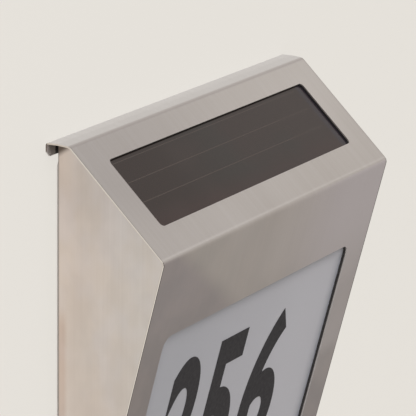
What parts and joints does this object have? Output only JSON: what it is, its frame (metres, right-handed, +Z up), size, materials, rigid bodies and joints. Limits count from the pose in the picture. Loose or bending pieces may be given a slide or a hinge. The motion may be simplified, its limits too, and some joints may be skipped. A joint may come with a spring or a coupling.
{
  "type": "solar outdoor wall light",
  "caption": "Solar wall light with a folded steel shell, a panel in its sloping top and an opal number window in its front, hung on a flat wall plate.",
  "frame": {"origin": "on the wall plane, midway between the two upper wall-screw slots of the wall plate", "axes": "+Z up, +Y into the wall, -Y towards the viewer, +X to the right seen from the front"},
  "size_m": [0.18, 0.0517, 0.1932],
  "materials": {
    "brushed_stainless": "brushed stainless, fine straight grain",
    "plain_stainless": "mill-finish stainless sheet",
    "steel_screw": "plain stainless",
    "black_rubber": "matte",
    "panel_glass": "thin-film cells behind glass",
    "opal_acrylic": "satin opal",
    "white_abs": "fine matte moulding",
    "battery_sleeve": "plain shrink sleeve",
    "plated_contact": "nickel plated spring steel",
    "green_board": "solder mask",
    "white_board": "white solder mask",
    "black_plastic": "matte",
    "ferrite": "sintered ferrite drum",
    "capacitor_can": "shrink sleeve",
    "ivory_nylon": "plain nylon",
    "led_phosphor": "silicone over phosphor",
    "grey_silicone": "matte silicone",
    "foam_pad": "closed-cell foam"
  },
  "bodies": {
    "plate": {"wall_plate": "plain_stainless"},
    "lamp": {"wrap_shell": "brushed_stainless", "left_cheek": "brushed_stainless", "right_cheek": "brushed_stainless", "solar_gasket": "black_rubber", "solar_panel": "panel_glass", "opal_gasket": "black_rubber", "opal_diffuser": "opal_acrylic", "inner_housing": "white_abs", "rear_cover": "white_abs", "cover_gasket": "black_rubber", "cover_screws": "steel_screw", "housing_screws": "steel_screw", "hinge_pin": "steel_screw", "door_seal": "black_rubber", "battery_cell": "battery_sleeve", "battery_spring": "plated_contact", "battery_contact": "plated_contact", "control_board": "green_board", "tact_switch": "black_plastic", "charge_chip": "black_plastic", "inductor": "ferrite", "capacitor": "capacitor_can", "board_connectors": "ivory_nylon", "board_screws": "steel_screw", "led_board": "white_board", "leds": "led_phosphor", "led_screws": "steel_screw", "button_seal": "black_rubber", "spacer_pads": "foam_pad", "lock_nut": "steel_screw"},
    "door": {"battery_door": "white_abs"},
    "button": {"power_button": "grey_silicone"},
    "lock": {"lock_screw": "steel_screw"}
  },
  "joints": [
    {"name": "lift_off", "type": "slide", "parent": "plate", "child": "lamp", "axis": [0, 0, 1], "range_m": [0, 0.006]},
    {"name": "battery_door_hinge", "type": "hinge", "parent": "lamp", "child": "door", "pos_m": [-0.012, -0.00435, -0.03625], "axis": [-1, 0, 0], "range_deg": [0, 80]},
    {"name": "power_button_push", "type": "slide", "parent": "lamp", "child": "button", "axis": [0, -1, 0], "range_m": [0, 0.0015], "stiffness_N_per_m": 500},
    {"name": "lock_screw_withdraw", "type": "slide", "parent": "plate", "child": "lock", "axis": [0, 0, -1], "range_m": [0, 0.01]}
  ]
}
